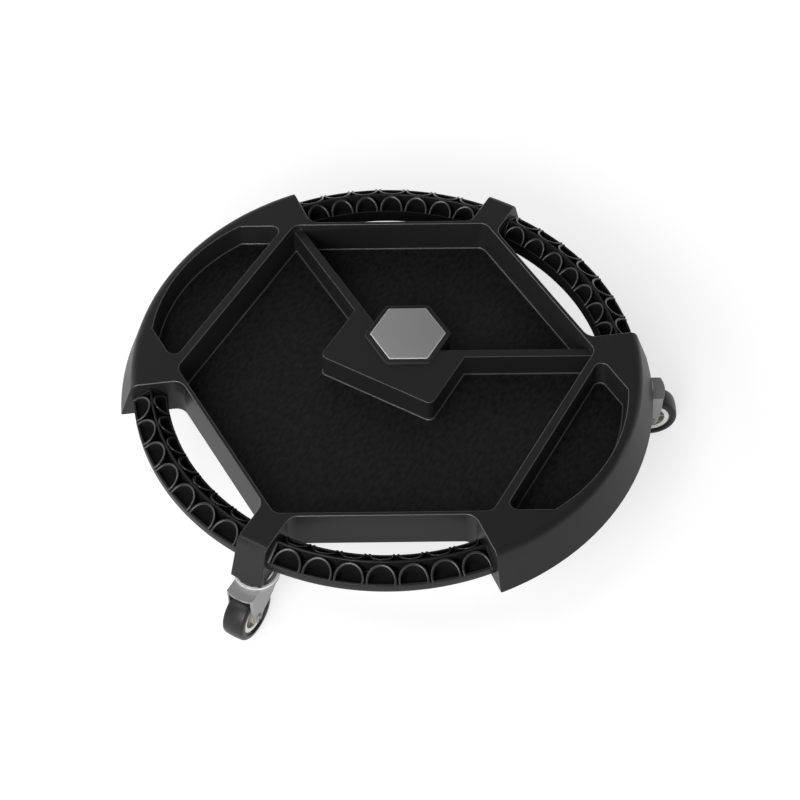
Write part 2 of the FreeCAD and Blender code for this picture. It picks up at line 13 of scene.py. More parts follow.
import bmesh
import bpy
import numpy as np
from mathutils import Matrix, Vector

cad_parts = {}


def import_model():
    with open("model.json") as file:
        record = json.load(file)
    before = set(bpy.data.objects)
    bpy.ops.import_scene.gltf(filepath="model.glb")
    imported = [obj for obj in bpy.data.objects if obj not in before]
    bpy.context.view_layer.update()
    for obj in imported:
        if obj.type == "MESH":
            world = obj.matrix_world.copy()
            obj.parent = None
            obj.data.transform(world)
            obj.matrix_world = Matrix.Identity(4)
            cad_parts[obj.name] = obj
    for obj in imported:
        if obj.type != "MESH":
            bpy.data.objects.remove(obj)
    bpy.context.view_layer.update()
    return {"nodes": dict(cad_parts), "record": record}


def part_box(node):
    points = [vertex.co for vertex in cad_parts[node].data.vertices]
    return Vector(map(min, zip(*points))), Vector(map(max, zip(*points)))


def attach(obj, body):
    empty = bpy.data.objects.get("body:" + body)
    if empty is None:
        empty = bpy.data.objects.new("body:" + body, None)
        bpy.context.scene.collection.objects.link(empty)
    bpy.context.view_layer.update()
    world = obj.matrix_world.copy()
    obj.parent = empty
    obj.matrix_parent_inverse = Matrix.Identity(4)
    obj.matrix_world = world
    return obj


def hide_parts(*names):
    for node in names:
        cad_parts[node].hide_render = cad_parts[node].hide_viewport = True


LOG = logging.getLogger("rolling_tool_tray")
MM = 0.001
TURN = 2.0 * math.pi
WELD = 1e-6
MARKS = "face_marks"
SHARP_ANGLE = math.radians(35.0)
FLAT_ANGLE = math.radians(0.5)
# Width of a rounded edge half way up, as a share of its whole width.
ROUND_SHARE = 0.3

Array = np.ndarray
Colour = tuple[float, float, float]


class Slot(Enum):
    """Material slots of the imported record."""

    SHELL = "shell_plastic"
    RAIL = "rail_plastic"
    BADGE = "badge_metal"
    ZINC = "zinc_steel"
    BALL = "bearing_steel"
    BRASS = "brass"
    CORE = "wheel_plastic"
    TYRE = "tyre_rubber"


class Place(Enum):
    """Casters by their place under the tray, with the direction that each wheel trails to."""

    FRONT = ("front", 270.0)
    RIGHT = ("right", 30.0)
    LEFT = ("left", 150.0)


class Quadrant(Enum):
    """Tread rails by their place, with the signs of x and y there."""

    REAR_RIGHT = ("rear_right", 1.0, 1.0)
    REAR_LEFT = ("rear_left", -1.0, 1.0)
    FRONT_LEFT = ("front_left", -1.0, -1.0)
    FRONT_RIGHT = ("front_right", 1.0, -1.0)


class Value:
    """One socket of a node tree, with the operators that shader maths uses."""

    def __init__(self, tree: "Tree", socket: bpy.types.NodeSocket) -> None:
        """Keep the socket and the tree it belongs to."""
        self.tree = tree
        self.socket = socket

    def maths(self, operation: str, *others: Any) -> "Value":
        """Result of a Math node on this value and further operands."""
        return self.tree.maths(operation, self, *others)

    def clamped(self) -> "Value":
        """This value held between 0 and 1."""
        return self.maths("MAXIMUM", 0.0).maths("MINIMUM", 1.0)

    def __add__(self, other: Any) -> "Value":
        """Sum."""
        return self.maths("ADD", other)

    def __sub__(self, other: Any) -> "Value":
        """Difference."""
        return self.maths("SUBTRACT", other)

    def __rsub__(self, other: Any) -> "Value":
        """Difference with the number first."""
        return self.tree.maths("SUBTRACT", other, self)

    def __mul__(self, other: Any) -> "Value":
        """Product."""
        return self.maths("MULTIPLY", other)

    __radd__, __rmul__ = __add__, __mul__


class Tree:
    """A node tree with one way to add a node."""

    def __init__(self, owner: bpy.types.Material | bpy.types.World) -> None:
        """Start from an empty tree.

        Args:
            owner: the material or world that the tree belongs to.
        """
        owner.use_nodes = True
        self.tree = owner.node_tree
        self.tree.nodes.clear()

    def node(self, kind: str, settings: dict[str, Any] | None = None,
             inputs: dict[Any, Any] | None = None) -> bpy.types.Node:
        """Add one node.

        Args:
            kind: the node's type name.
            settings: attributes, which are set first.
            inputs: numbers, colours or links of its sockets, by name or number.

        Returns:
            The node.
        """
        made = self.tree.nodes.new(kind)
        for name, setting in (settings or {}).items():
            setattr(made, name, setting)
        for key, value in (inputs or {}).items():
            if isinstance(value, Value):
                self.tree.links.new(value.socket, made.inputs[key])
            else:
                made.inputs[key].default_value = value
        return made

    def value(self, node: bpy.types.Node, output: Any = 0) -> Value:
        """One output of a node."""
        return Value(self, node.outputs[output])

    def maths(self, operation: str, *operands: Any) -> Value:
        """Result of a Math node."""
        return self.value(self.node("ShaderNodeMath", {"operation": operation}, dict(enumerate(operands))))

    def place(self) -> Value:
        """Object coordinates of the surface, in metres."""
        return self.value(self.node("ShaderNodeTexCoord"), "Object")

    def turned_place(self, degrees: float, scale: tuple[float, float, float]) -> Value:
        """Object coordinates turned about Z, then scaled along the turned axes."""
        turn = self.node("ShaderNodeMapping", {}, {0: self.place(), "Rotation": (0.0, 0.0, math.radians(degrees))})
        return self.value(self.node("ShaderNodeVectorMath", {"operation": "MULTIPLY"}, {0: self.value(turn), 1: scale}))

    def axes(self, place: Value) -> tuple[Value, Value, Value]:
        """X, Y and Z of a place."""
        parts = self.node("ShaderNodeSeparateXYZ", {}, {0: place})
        return self.value(parts, 0), self.value(parts, 1), self.value(parts, 2)

    def noise(self, scale: float, detail: float = 3.0, roughness: float = 0.55, place: Value | None = None) -> Value:
        """Noise between 0 and 1 with a number of features per metre."""
        return self.value(self.node("ShaderNodeTexNoise", {"noise_dimensions": "3D"}, {
            "Vector": place or self.place(), "Scale": scale, "Detail": detail, "Roughness": roughness}))

    def marks(self) -> tuple[Value, Value, Value]:
        """The three marks of a face: where the edge colour goes, a painted highlight on rounded edges and painted shade
        in the wheel core's recess, then the grained floor and the side tray's floor, which can get painted shade.
        """
        return self.axes(self.value(self.node("ShaderNodeAttribute", {"attribute_name": MARKS}), "Vector"))

    def mix(self, factor: Value, low: Colour | Value, high: Colour | Value) -> Value:
        """Colour between two colours."""
        ends = [end if isinstance(end, Value) else (*end, 1.0) for end in (low, high)]
        return self.value(self.node("ShaderNodeMix", {"data_type": "RGBA"}, {0: factor, 6: ends[0], 7: ends[1]}), 2)

    def bump(self, height: Value, distance: float) -> Value:
        """Normal from a height between 0 and 1 that stands for a distance in metres."""
        return self.value(self.node("ShaderNodeBump", {}, {"Height": height, "Distance": distance, "Strength": 1.0}))


@dataclass(frozen=True)
class Finish:
    """A surface finish: two close tones, their roughness and a fine grain."""

    name: str
    dark: Colour
    light: Colour
    roughness: tuple[float, float]
    cloud_scale: float
    grain_scale: float
    grain_depth: float
    metallic: float = 0.0
    specular: float = 0.5
    skin: float = 0.0
    skin_roughness: float = 0.3
    # Colour painted on marked faces: a painted highlight on rounded edges, painted shade in the wheel core's recess.
    edge: Colour | None = None

    def clouds(self, tree: Tree) -> Value:
        """Slow change of tone and gloss over the surface."""
        return tree.noise(self.cloud_scale, detail=4.0)

    def tone(self, tree: Tree, clouds: Value) -> Value:
        """Colour of the surface, with the edge colour on marked faces: a painted highlight on rounded edges, painted
        shade in the wheel core's recess.
        """
        plain = tree.mix(clouds, self.dark, self.light)
        return plain if self.edge is None else tree.mix(tree.marks()[0], plain, self.edge)

    def skin_share(self, tree: Tree) -> Value | float:
        """Weight of the smooth outer skin, from 0 to 1."""
        return self.skin

    def relief(self, tree: Tree) -> Value:
        """Fine grain as a height between 0 and 1."""
        return tree.noise(self.grain_scale, detail=2.0)

    def material(self) -> bpy.types.Material:
        """Material of the finish, made on the first call and reused after it.

        Returns:
            The material.
        """
        ready = bpy.data.materials.get(self.name)
        if ready is not None:
            return ready
        made = bpy.data.materials.new(self.name)
        tree = Tree(made)
        clouds = self.clouds(tree)
        low, high = self.roughness
        shader = tree.node("ShaderNodeBsdfPrincipled", {}, {
            "Base Color": self.tone(tree, clouds),
            "Roughness": clouds * (high - low) + low,
            "Metallic": self.metallic,
            "Specular IOR Level": self.specular,
            "Coat Weight": self.skin_share(tree),
            "Coat Roughness": self.skin_roughness,
            "Normal": tree.bump(self.relief(tree), self.grain_depth)})
        tree.node("ShaderNodeOutputMaterial", {}, {"Surface": tree.value(shader)})
        return made


@dataclass(frozen=True)
class BrushedFinish(Finish):
    """A metal finish with fine parallel brush lines."""

    brush_angle: float = 30.0
    stretch: float = 40.0

    def relief(self, tree: Tree) -> Value:
        """Noise drawn out along the brush: its place is squeezed along that direction."""
        drawn_out = tree.turned_place(self.brush_angle, (1 / self.stretch, 1, 1))
        return tree.noise(self.grain_scale, detail=3.0, roughness=0.6, place=drawn_out)


@dataclass(frozen=True)
class LipHighlightFinish(Finish):
    """A pressed metal finish with a painted highlight above a height, where a raised lip begins."""

    lip_z: float = 61.2
    # Colour of the lip's painted highlight.
    lip: Colour = (0.72, 0.72, 0.72)

    def tone(self, tree: Tree, clouds: Value) -> Value:
        """Colour of the sheet, and over the lip's height the painted highlight of the lip."""
        _, _, height = tree.axes(tree.place())
        return tree.mix(height.maths("GREATER_THAN", self.lip_z * MM), super().tone(tree, clouds), self.lip)


@dataclass(frozen=True)
class TrayFinish(Finish):
    """Moulded plastic whose marked floors are duller, with painted shade, and may carry a grain of dimpled streaks."""

    floor_dulling: float = 0.85
    # Painted shade on the floors, and on the side trays' floors.
    floor_painted_shade: float = 0.26
    side_tray_painted_shade: float = 0.2
    pitch: float = 6.0
    weave_angle: float = 45.0
    weave_share: float = 2.0
    streak_scale: float = 320.0
    streak_stretch: float = 0.45
    streak_share: float = 1.3
    edge_skin: float = 0.0

    def tone(self, tree: Tree, clouds: Value) -> Value:
        """Colour of the plastic, with painted shade on the floors, where noise drawn out along Y streaks it.

        Args:
            tree: the material's tree.
            clouds: slow change between the two tones, from 0 to 1.

        Returns:
            The colour.
        """
        _, floor, side_tray = tree.marks()
        drawn_out = tree.turned_place(0.0, (1.0, self.streak_stretch, 1.0))
        streaks = tree.noise(self.streak_scale, detail=1.0, roughness=0.5, place=drawn_out) - 0.5
        # Painted shade on the grained floors, streaked by the grain, and more of it on the side trays' floors.
        shade = floor * (streaks * self.streak_share + self.floor_painted_shade) + side_tray * self.side_tray_painted_shade
        return tree.mix(shade, super().tone(tree, clouds), (0.0, 0.0, 0.0))

    def skin_share(self, tree: Tree) -> Value:
        """Smooth skin on walls and tops, more of it on rounded edges and little on the grained floors."""
        edge, floor, _ = tree.marks()
        return (1.0 - floor * self.floor_dulling) * self.skin + edge * self.edge_skin

    def relief(self, tree: Tree) -> Value:
        """Fine grain, and on the floors the product of two sine waves, a pitch apart, along turned axes.

        Args:
            tree: the material's tree.

        Returns:
            The height.
        """
        rate = TURN / (self.pitch * MM)
        across, along, _ = tree.axes(tree.turned_place(self.weave_angle, (rate, rate, 1.0)))
        weave = across.maths("SINE") * along.maths("SINE")
        return super().relief(tree) + weave * tree.marks()[1] * self.weave_share


ZINC_SHEET = ((0.27, 0.27, 0.273), (0.32, 0.32, 0.323), (0.34, 0.44), 60.0, 900.0, 0.000008, 0.35)

# Its edge colour is a painted highlight on rounded edges; its floors get painted shade.
SHELL_BLACK = TrayFinish(
    "shell_black", (0.0125, 0.0125, 0.0126), (0.0143, 0.0143, 0.0144), (0.48, 0.56), 14.0, 1500.0, 0.00002,
    specular=0.1, skin=0.26, skin_roughness=0.3, edge=(0.058, 0.058, 0.058), edge_skin=0.7)
# Its edge colour is a painted highlight on the ribs' tops.
RAIL_BLACK = TrayFinish(
    "rail_black", (0.0085, 0.0085, 0.0086), (0.0105, 0.0105, 0.0106), (0.42, 0.5), 30.0, 1500.0, 0.00002,
    specular=0.0, skin=0.45, skin_roughness=0.24, edge=(0.02, 0.02, 0.02), edge_skin=0.5,
    floor_dulling=0.95, floor_painted_shade=0.0, weave_share=0.0, streak_share=0.0)
# Its edge colour is a painted highlight on the slanted edge.
BADGE_GREY = BrushedFinish(
    "badge_grey", (0.235, 0.235, 0.235), (0.255, 0.255, 0.255), (0.40, 0.48), 18.0, 3500.0, 0.000004, 0.2,
    edge=(0.6, 0.6, 0.6))
ZINC = Finish("zinc_plate", *ZINC_SHEET)
# The fork's zinc sheet, with a painted highlight on its raised lip.
FORK_ZINC_AND_LIP_HIGHLIGHT = LipHighlightFinish("fork_zinc_and_lip_highlight", *ZINC_SHEET)
# Bright zinc of the race ring, partly painted highlight; on the fork's rounded edges it is painted highlight only.
BRIGHT_ZINC_AND_HIGHLIGHT = Finish("bright_zinc_and_highlight", (0.82, 0.82, 0.83), (0.9, 0.9, 0.91), (0.2, 0.28), 80.0, 1200.0, 0.000003, 0.3)
BALL_STEEL = Finish("ball_steel", (0.60, 0.60, 0.61), (0.68, 0.68, 0.69), (0.1, 0.16), 90.0, 2000.0, 0.000002, 1.0)
BRASS = Finish("insert_brass", (0.55, 0.38, 0.15), (0.64, 0.46, 0.2), (0.28, 0.38), 90.0, 1500.0, 0.00001, 1.0)
# Its edge colour is painted shade on the faces inside the rim.
CORE_WHITE = Finish("core_white", (0.88, 0.875, 0.86), (0.94, 0.935, 0.92), (0.30, 0.40), 45.0, 1200.0, 0.000008,
                    edge=(0.40, 0.375, 0.33))
TYRE_GREY = Finish("tyre_grey", (0.013, 0.013, 0.0133), (0.017, 0.017, 0.0173), (0.30, 0.40), 40.0, 1400.0, 0.00001,
                   specular=0.25)

LOOKS = {Slot.SHELL: SHELL_BLACK, Slot.RAIL: RAIL_BLACK, Slot.BADGE: BADGE_GREY, Slot.ZINC: ZINC,
         Slot.BALL: BALL_STEEL, Slot.BRASS: BRASS, Slot.CORE: CORE_WHITE, Slot.TYRE: TYRE_GREY}


def unit(vectors: Array) -> Array:
    """Vectors of length 1 along the last axis."""
    return vectors / np.linalg.norm(vectors, axis=-1, keepdims=True)


def turned(along: Array, across: Array | float, z: Array, angle: Array | float) -> Array:
    """Points at a distance along and across a direction in plan, and at a height.

    x is along * cos - across * sin, and y is along * sin + across * cos, of the direction's angle.

    Args:
        along: distances along the direction.
        across: distances to its left.
        z: heights.
        angle: the direction from +X, in radians.

    Returns:
        Three numbers per point, in the shape that the arguments broadcast to.
    """
    cos, sin = np.cos(angle), np.sin(angle)
    x, y = along * cos - across * sin, along * sin + across * cos
    return np.stack([x, y, np.broadcast_to(z, x.shape)], axis=-1)


def rounded(corners: Sequence[Sequence[float]], steps: int = 5) -> Array:
    """Closed outline with rounded corners.

    Each arc starts and ends radius * tan(turn / 2) from its corner, round a centre one radius to the inner side of
    the first tangent point. A radius of 0 keeps the corner.

    Args:
        corners: x, y and radius of each corner in order.
        steps: points on each arc.

    Returns:
        Points of the outline, two numbers each.
    """
    table = np.asarray(corners, float)
    spots, radii = table[:, :2], table[:, 2]
    into = unit(spots - np.roll(spots, 1, axis=0))
    out = unit(np.roll(spots, -1, axis=0) - spots)
    turn = np.arctan2(into[:, 0] * out[:, 1] - into[:, 1] * out[:, 0], (into * out).sum(axis=1))
    start = spots - into * (radii * np.tan(np.abs(turn) / 2))[:, None]
    inward = np.stack([-into[:, 1], into[:, 0]], axis=1) * np.sign(turn)[:, None]
    centre = start + inward * radii[:, None]
    angle = np.linspace(0.0, 1.0, steps)[None, :] * turn[:, None]
    spoke = (start - centre)[:, None, :]
    swung = np.stack([spoke[..., 0] * np.cos(angle) - spoke[..., 1] * np.sin(angle),
                      spoke[..., 0] * np.sin(angle) + spoke[..., 1] * np.cos(angle)], axis=-1)
    points = (centre[:, None, :] + swung).reshape(-1, 2)
    fresh = np.linalg.norm(points - np.roll(points, 1, axis=0), axis=1) > 1e-6
    return points[fresh]


def smoothed(name: str, mesh: bpy.types.Mesh, work: bmesh.types.BMesh) -> bpy.types.Object:
    """Object from an edited shape, smooth but for edges sharper than the sharp angle.

    Args:
        name: the object's name.
        mesh: the mesh that takes up the shape.
        work: the edited shape, which is freed.

    Returns:
        The object, in the scene.
    """
    work.to_mesh(mesh)
    work.free()
    mesh.shade_smooth()
    mesh.set_sharp_from_angle(angle=SHARP_ANGLE)
    made = bpy.data.objects.new(name, mesh)
    bpy.context.scene.collection.objects.link(made)
    return made


@dataclass
class Surface:
    """Points in millimetres and the faces between them."""

    points: Array
    faces: list[Array]

    @staticmethod
    def grid(points: Array, wrap_rows: bool = False, wrap_columns: bool = False, caps: bool = False) -> "Surface":
        """Surface on a grid of points.

        Args:
            points: array of rows, columns and three numbers.
            wrap_rows: join the last row to the first.
            wrap_columns: join the last column to the first.
            caps: close the first and the last row with a face each.

        Returns:
            The surface.
        """
        rows, columns = points.shape[:2]
        i, j = np.arange(rows if wrap_rows else rows - 1), np.arange(columns if wrap_columns else columns - 1)
        i, j = (part.ravel() for part in np.meshgrid(i, j, indexing="ij"))
        up, right = (i + 1) % rows, (j + 1) % columns
        faces = [np.stack([i * columns + j, up * columns + j, up * columns + right, i * columns + right], axis=1)]
        if caps:
            last = (rows - 1) * columns
            faces.append(np.arange(columns)[None, :])
            faces.append(np.arange(last, last + columns)[None, ::-1])
        return Surface(points.reshape(-1, 3), faces)

    @staticmethod
    def swept(points: Array) -> "Surface":
        """Closed body from rows of points, each a closed outline, with flat ends."""
        return Surface.grid(points, wrap_columns=True, caps=True)

    def __add__(self, other: "Surface") -> "Surface":
        """Both surfaces as one."""
        moved = [face + len(self.points) for face in other.faces]
        return Surface(np.concatenate([self.points, other.points]), self.faces + moved)

    def placed(self, turn: Array, offset: Sequence[float] = (0.0, 0.0, 0.0)) -> "Surface":
        """Copy with its points turned by a matrix and then moved."""
        return Surface(self.points @ np.asarray(turn, float).T + np.asarray(offset, float), self.faces)

    def mesh_object(self, name: str) -> bpy.types.Object:
        """Object at the origin from the surface.

        Points that coincide are merged, so seams and poles close, and faces are turned outwards.

        Args:
            name: the piece's name.

        Returns:
            The object.
        """
        mesh = bpy.data.meshes.new(name)
        faces = [row for block in self.faces for row in block.tolist()]
        mesh.from_pydata((self.points * MM).tolist(), [], faces)
        work = bmesh.new()
        work.from_mesh(mesh)
        bmesh.ops.remove_doubles(work, verts=work.verts, dist=WELD)
        bmesh.ops.recalc_face_normals(work, faces=work.faces)
        return smoothed(name, mesh, work)


def joined(surfaces: Sequence[Surface]) -> Surface:
    """Several surfaces as one."""
    return sum(surfaces[1:], surfaces[0])


def lathe(profile: Array, steps: int = 96) -> Surface:
    """Closed profile turned round Z: each point goes round a circle of its radius, at its height."""
    turn = np.arange(steps) * TURN / steps
    return Surface.grid(turned(profile[:, 0], 0.0, profile[:, 1], turn[:, None]), True, True)


def stacked(outlines: Sequence[Array], heights: Sequence[float]) -> Surface:
    """Closed body from like outlines at several heights, with flat ends."""
    rows = [np.column_stack([outline, np.full(len(outline), height)]) for outline, height in zip(outlines, heights)]
    return Surface.swept(np.stack(rows))


def shrunk(outline: Array, inset: float) -> Array:
    """Outline drawn in: each point moves towards the middle of the outline by the inset."""
    middle = outline.mean(axis=0)
    return outline - unit(outline - middle) * inset


def set_marks(mesh: bpy.types.Mesh, marks: Array) -> None:
    """Put three marks per face on a mesh, for its finish to read."""
    layer = mesh.attributes.new(MARKS, "FLOAT_VECTOR", "FACE")
    layer.data.foreach_set("vector", marks.astype(np.float32).ravel())


def face_array(mesh: bpy.types.Mesh, field: str, width: int) -> Array:
    """One field of every face of a mesh.

    Args:
        mesh: the mesh.
        field: the field's name.
        width: numbers per face.

    Returns:
        One row per face.
    """
    values = np.empty(len(mesh.polygons) * width)
    mesh.polygons.foreach_get(field, values)
    return values.reshape(-1, width)


def face_corners(mesh: bpy.types.Mesh) -> Array:
    """The three corner points of every triangle of a mesh.

    Args:
        mesh: a mesh of triangles.

    Returns:
        Three points per face.
    """
    spots, ends = np.empty(len(mesh.vertices) * 3), np.empty(len(mesh.loops), np.int32)
    mesh.vertices.foreach_get("co", spots)
    mesh.loops.foreach_get("vertex_index", ends)
    return spots.reshape(-1, 3)[ends].reshape(-1, 3, 3)


def finish_piece(piece: bpy.types.Object, body: str, nodes: Sequence[str], finish: Finish) -> None:
    """Dress a piece and tie it to the frame.

    Args:
        piece: the new object.
        body: the body that it rides on.
        nodes: CAD nodes that it stands for.
        finish: its surface finish.
    """
    piece.data.materials.clear()
    piece.data.materials.append(finish.material())
    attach(piece, body)
    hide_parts(*nodes)
    LOG.info("%s: %d faces on %s", piece.name, len(piece.data.polygons), body)


@dataclass
class SmoothCopy:
    """Merged copy of a CAD node, smooth on its curves and with rounded edges where they are asked for."""

    nodes: dict[str, bpy.types.Object]
    edge: float = 0.0
    edge_angle: float = 40.0
    segments: int = 2

    def build(self, node: str, name: str) -> bpy.types.Object:
        """Copy a node.

        Args:
            node: the CAD node's name.
            name: the copy's name.

        Returns:
            The copy, with its place in its mesh.
        """
        mesh = self.nodes[node].data.copy()
        mesh.name = name
        work = bmesh.new()
        work.from_mesh(mesh)
        bmesh.ops.remove_doubles(work, verts=work.verts, dist=WELD)
        if self.edge:
            bmesh.ops.dissolve_limit(work, angle_limit=FLAT_ANGLE, verts=work.verts, edges=work.edges)
        made = smoothed(name, mesh, work)
        if self.edge:
            bevel = made.modifiers.new("rounded_edges", "BEVEL")
            bevel.width = self.edge * MM
            bevel.segments = self.segments
            bevel.limit_method = "ANGLE"
            bevel.angle_limit = math.radians(self.edge_angle)
        weighted = made.modifiers.new("flat_faces_flat", "WEIGHTED_NORMAL")
        weighted.keep_sharp = True
        return made


@dataclass(frozen=True)
class Flank:
    """One slope of a rail: its side, radius and height of its arches' tops, where they end, and their feet's lift."""

    outward: float
    apex: float
    apex_z: float
    limit: float
    foot_lift: float


@dataclass
class TreadRail:
    """One curved rail of the tread ring between an arm and a side tray."""

    quadrant: Quadrant
    inner: float = 201.8
    outer: float = 232.8
    crown: float = 215.5
    inner_bottom_z: float = 77.0
    outer_bottom_z: float = 80.7
    band_z: float = 90.3
    crown_z: float = 101.2
    floor_z: float = 86.7
    wall: float = 2.4
    ridge: float = 2.0
    plate: float = 2.4
    gable_round: float = 2.0
    arches: int = 7
    rib: float = 2.1
    rib_edge: float = 1.0
    highlight_rise: float = 0.4
    floor_rise: float = 0.9
    inner_facing: float = -0.3
    gap: float = 1.6
    flanks: tuple[Flank, ...] = (Flank(1.0, 216.9, 100.4, 232.7, 1.3), Flank(-1.0, 214.2, 101.7, 201.9, 1.0))
    tongue_radius: float = 217.4
    tongue_half: float = 7.0
    tongue_height: float = 6.0
    tongue_lift: float = 5.5
    shell_wall: float = 3.0
    edge: float = 0.7
    rim_z: float = 107.0
    skirt_depth: float = 39.0
    arm_half: float = 14.1
    arm_flare: float = 1.1
    pod_angle: float = 37.2
    pod_flare: float = 0.6
    seat: float = 0.05
    path_steps: int = 60
    arch_steps: int = 36

    def end_angles(self, radius: Array, z: Array) -> tuple[Array, Array]:
        """Angles of the side tray's end wall and of the arm's wall at a radius and height.

        The end wall is a plane through the tray's axis and the arm's wall a plane beside it; both lean out by their
        flare from the rim down to the skirt's edge.

        Args:
            radius: distances from the tray's axis.
            z: heights.

        Returns:
            Start and end angle of the rail there, in radians.
        """
        share = (self.rim_z - z) / self.skirt_depth
        start = math.radians(self.pod_angle) + np.arcsin((self.pod_flare * share + self.seat) / radius)
        end = np.pi / 2 - np.arcsin((self.arm_half + self.arm_flare * share + self.seat) / radius)
        return start, end

    def channel(self) -> Surface:
        """Section of floor, side bands and crown ridge, carried along the arc between the two walls.

        Returns:
            The closed channel.
        """
        wall, half, edge = self.wall, self.ridge / 2, self.edge
        inner, outer = self.inner + wall, self.outer - wall
        under = self.floor_z - wall
        section = rounded([
            (self.inner, self.inner_bottom_z, edge), (inner, self.inner_bottom_z, edge), (inner, under, 0.0),
            (outer, under, 0.0), (outer, self.outer_bottom_z, edge), (self.outer, self.outer_bottom_z, edge),
            (self.outer, self.band_z, edge), (outer, self.band_z, edge), (outer, self.floor_z, edge),
            (self.crown + half, self.floor_z, edge), (self.crown + half, self.crown_z, edge),
            (self.crown - half, self.crown_z, edge), (self.crown - half, self.floor_z, edge),
            (inner, self.floor_z, edge), (inner, self.band_z, edge), (self.inner, self.band_z, edge)])
        radius, z = section[:, 0], section[:, 1]
        start, end = self.end_angles(radius, z)
        share = np.linspace(0.0, 1.0, self.path_steps)[:, None]
        return Surface.swept(turned(radius, 0.0, z, start + (end - start) * share))

    def arch(self, angle: float, radius: float, flank: Flank) -> Surface:
        """One round rib: a section with a rounded top, carried along an arc of a circle in plan.

        The rib's middle line is a circle that comes nearest to the ridge at the flank's apex. Its top falls in a
        straight slope from there to its two feet, which stand on the band.

        Args:
            angle: direction of the circle's centre from the tray's axis, in radians.
            radius: outer radius of the rib in plan.
            flank: the slope that the rib lies on.

        Returns:
            The closed rib.
        """
        half, edge = self.rib / 2, self.rib_edge
        middle = radius - half
        centre = flank.apex + flank.outward * radius
        reach = (flank.limit ** 2 - centre ** 2 - middle ** 2) / (2 * centre * middle)
        foot = math.acos(min(max(flank.outward * reach, -1.0), 1.0))
        # A drop below 0 marks the base, which ends inside the channel's floor.
        arc = np.linspace(0.0, math.pi / 2, 5)
        side = np.concatenate([[-half, -half], -half + edge - edge * np.cos(arc), half - edge + edge * np.sin(arc),
                               [half, half]])
        drop = np.concatenate([[-1.0, edge + 1.0], edge - edge * np.sin(arc), edge - edge * np.cos(arc),
                               [edge + 1.0, -1.0]])
        turn = np.linspace(foot, TURN - foot, self.arch_steps)[:, None] + (0.0 if flank.outward > 0 else math.pi)
        along = centre + (middle + side) * np.cos(turn)
        across = (middle + side) * np.sin(turn)
        share = (np.hypot(along, across) - flank.apex) / (flank.limit - flank.apex)
        top = flank.apex_z - (flank.apex_z - self.band_z - flank.foot_lift) * np.clip(share, 0.0, 1.0)
        z = np.where(drop < 0, self.floor_z - self.wall / 2, top - drop)
        return Surface.swept(turned(along, across, z, angle))

    def span(self) -> tuple[float, float]:
        """First and last angle of the arches, between the two end plates, in radians."""
        plate = self.plate / self.tongue_radius
        return math.radians(self.pod_angle) + plate, math.pi / 2 - math.asin(self.arm_half / self.tongue_radius) - plate

    def ribs(self) -> list[Surface]:
        """Both flanks' arches, evenly spaced between the end plates.

        Returns:
            One surface per rib.
        """
        first, last = self.span()
        pitch = (last - first) / self.arches
        radii = [band * pitch / 2 - self.gap / 2 for band in (self.outer, self.inner)]
        return [self.arch(first + (index + 0.5) * pitch, radius, flank)
                for index in range(self.arches) for radius, flank in zip(radii, self.flanks)]

    def marks(self, mesh: bpy.types.Mesh) -> Array:
        """Marks of every face: ribs' tops with a painted highlight, and the dull pocket floors and inner band.

        Args:
            mesh: the rail's mesh.

        Returns:
            Three marks per face.
        """
        centre, normal = face_array(mesh, "center", 3) / MM, face_array(mesh, "normal", 3)
        radius = np.hypot(centre[:, 0], centre[:, 1])
        outward = (centre[:, :2] * normal[:, :2]).sum(axis=1) / radius
        angle = np.arctan2(np.abs(centre[:, 1]), np.abs(centre[:, 0]))
        first, last = self.span()
        on_ribs = (np.abs(radius - self.crown) > self.ridge / 2) & (angle > first) & (angle < last)
        # The ribs' upward faces above the band get a painted highlight.
        highlighted_tops = on_ribs & (centre[:, 2] > self.band_z) & (normal[:, 2] > self.highlight_rise)
        floor = (normal[:, 2] > self.floor_rise) & (centre[:, 2] < self.floor_z + self.edge)
        facing_in = outward < self.inner_facing
        inner_band = (radius < self.inner + self.edge) & facing_in & (centre[:, 2] < self.band_z)
        return np.column_stack([highlighted_tops, floor | inner_band, np.zeros(len(highlighted_tops))])

    def end_plate(self, at_arm: bool) -> Surface:
        """Gable outline carried from a wall into the rail by the plate's thickness, with a rounded inner edge.

        Args:
            at_arm: make the arm's end, else the side tray's.

        Returns:
            The closed plate.
        """
        half, edge = self.ridge / 2, self.edge
        gable = rounded([(self.inner, self.inner_bottom_z, edge), (self.outer, self.outer_bottom_z, edge),
                         (self.outer, self.band_z, self.gable_round), (self.crown + half, self.crown_z, edge),
                         (self.crown - half, self.crown_z, edge), (self.inner, self.band_z, self.gable_round)])
        sections = [gable, gable, shrunk(gable, edge * ROUND_SHARE), shrunk(gable, edge)]
        depths = (0.0, self.plate - edge, self.plate - edge * ROUND_SHARE, self.plate)
        rows = []
        for section, depth in zip(sections, depths):
            radius, z = section[:, 0], section[:, 1]
            start, end = self.end_angles(radius, z)
            rows.append(turned(radius, 0.0, z, end - depth / radius if at_arm else start + depth / radius))
        return Surface.swept(np.stack(rows))

